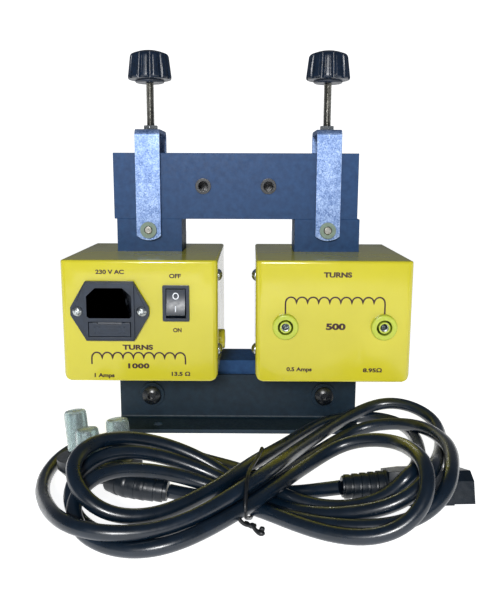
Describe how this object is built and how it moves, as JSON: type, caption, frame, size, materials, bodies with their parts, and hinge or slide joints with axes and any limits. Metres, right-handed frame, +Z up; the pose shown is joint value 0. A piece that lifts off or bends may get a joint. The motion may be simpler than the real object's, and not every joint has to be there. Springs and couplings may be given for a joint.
{
  "type": "dissectible transformer",
  "caption": "Demonstration transformer that comes apart: U core on brackets, yoke held by swinging screw clamps, boxed coils on its limbs, and a tied mains lead.",
  "frame": {"origin": "centre of the four table holes of the base, on the plane the base stands on", "axes": "+X along the yoke towards the secondary coil, +Y to the rear, +Z up"},
  "size_m": [0.2286, 0.2368, 0.2319],
  "materials": {
    "yellow_plastic": "glossy moulded plastic with light scuffs",
    "core_paint": "satin slate blue enamel on laminations",
    "bracket_paint": "satin dark blue-grey enamel",
    "black_steel": "blackened steel, oily sheen",
    "zinc": "zinc plated, spangled",
    "dark_steel": "dull plated steel",
    "nickel": "nickel plated",
    "copper": "enamelled copper wire",
    "nylon": "natural nylon",
    "black_plastic": "satin black moulding",
    "knob_plastic": "glossy black moulding",
    "socket_plastic": "yellow-green moulding",
    "clear_sleeve": "clear soft plastic",
    "fuse_glass": "clear glass tube with metal ends",
    "lead_pvc": "glossy black flexible sheath",
    "tie_plastic": "coated wire tie"
  },
  "bodies": {
    "root": {"bracket_front": "bracket_paint", "bracket_rear": "bracket_paint", "bracket_bolts": "black_steel", "bracket_washers": "black_steel", "bracket_nuts": "black_steel", "u_core": "core_paint", "pivot_pins": "dark_steel", "pin_washers": "nylon", "lead_bundle": "lead_pvc", "lead_tail_plug": "lead_pvc", "lead_tail_connector": "lead_pvc", "lead_tie": "tie_plastic", "lead_plug": "lead_pvc", "lead_plug_pins": "nickel", "lead_pin_sleeves": "clear_sleeve", "lead_connector": "lead_pvc", "lead_connector_contacts": "nickel"},
    "yoke": {"yoke": "core_paint", "yoke_bushes": "dark_steel"},
    "coil_primary": {"primary_cover": "yellow_plastic", "primary_back_plate": "yellow_plastic", "primary_back_screws": "zinc", "primary_bobbin": "nylon", "primary_winding": "copper", "primary_side_screws": "nickel", "inlet_housing": "black_plastic", "inlet_pins": "nickel", "inlet_screws": "nickel", "inlet_nuts": "nickel", "switch_frame": "black_plastic", "switch_terminals": "nickel"},
    "fuse_drawer": {"fuse_drawer": "black_plastic", "fuse_link": "fuse_glass"},
    "switch_rocker": {"switch_rocker": "black_plastic"},
    "coil_secondary": {"secondary_cover": "yellow_plastic", "secondary_back_plate": "yellow_plastic", "secondary_back_screws": "zinc", "secondary_bobbin": "nylon", "secondary_winding": "copper", "secondary_side_screws": "nickel", "socket_bushes": "socket_plastic", "socket_contacts": "nickel", "socket_nuts": "nickel"},
    "clamp_left": {"stirrup_left": "zinc", "stirrup_nut_left": "dark_steel"},
    "pad_left": {"pressure_pad_left": "dark_steel"},
    "screw_left": {"clamp_screw_left": "dark_steel", "knob_left": "knob_plastic"},
    "clamp_right": {"stirrup_right": "zinc", "stirrup_nut_right": "dark_steel"},
    "pad_right": {"pressure_pad_right": "dark_steel"},
    "screw_right": {"clamp_screw_right": "dark_steel", "knob_right": "knob_plastic"}
  },
  "joints": [
    {"name": "coil_primary_lift", "type": "slide", "parent": "root", "child": "coil_primary", "axis": [0, 0, 1], "range_m": [0, 0.005]},
    {"name": "coil_secondary_lift", "type": "slide", "parent": "root", "child": "coil_secondary", "axis": [0, 0, 1], "range_m": [0, 0.005]},
    {"name": "yoke_draw", "type": "slide", "parent": "root", "child": "yoke", "axis": [1, 0, 0], "range_m": [0, 0.16]},
    {"name": "clamp_left_swing", "type": "hinge", "parent": "root", "child": "clamp_left", "pos_m": [-0.055, 0, 0.1234], "axis": [0, 1, 0], "range_deg": [-90, 0]},
    {"name": "pad_left_advance", "type": "slide", "parent": "clamp_left", "child": "pad_left", "axis": [0, 0, -1], "range_m": [-0.002, 0.0052]},
    {"name": "screw_left_turn", "type": "hinge", "parent": "pad_left", "child": "screw_left", "pos_m": [-0.055, 0, 0.2], "axis": [0, 0, -1], "range_deg": [-810, 2295]},
    {"name": "clamp_right_swing", "type": "hinge", "parent": "root", "child": "clamp_right", "pos_m": [0.055, 0, 0.1234], "axis": [0, -1, 0], "range_deg": [-90, 0]},
    {"name": "pad_right_advance", "type": "slide", "parent": "clamp_right", "child": "pad_right", "axis": [0, 0, -1], "range_m": [-0.002, 0.0052]},
    {"name": "screw_right_turn", "type": "hinge", "parent": "pad_right", "child": "screw_right", "pos_m": [0.055, 0, 0.2], "axis": [0, 0, -1], "range_deg": [-810, 2295]},
    {"name": "switch_rock", "type": "hinge", "parent": "coil_primary", "child": "switch_rocker", "pos_m": [-0.0341, -0.061, 0.0858], "axis": [1, 0, 0], "range_deg": [0, 24]},
    {"name": "fuse_drawer_pull", "type": "slide", "parent": "coil_primary", "child": "fuse_drawer", "axis": [0, -1, 0], "range_m": [0, 0.02]}
  ],
  "couplings": [
    {"joint": "pad_left_advance", "follows": "screw_left_turn", "m_per_rad": 0.00012732},
    {"joint": "pad_right_advance", "follows": "screw_right_turn", "m_per_rad": 0.00012732}
  ]
}
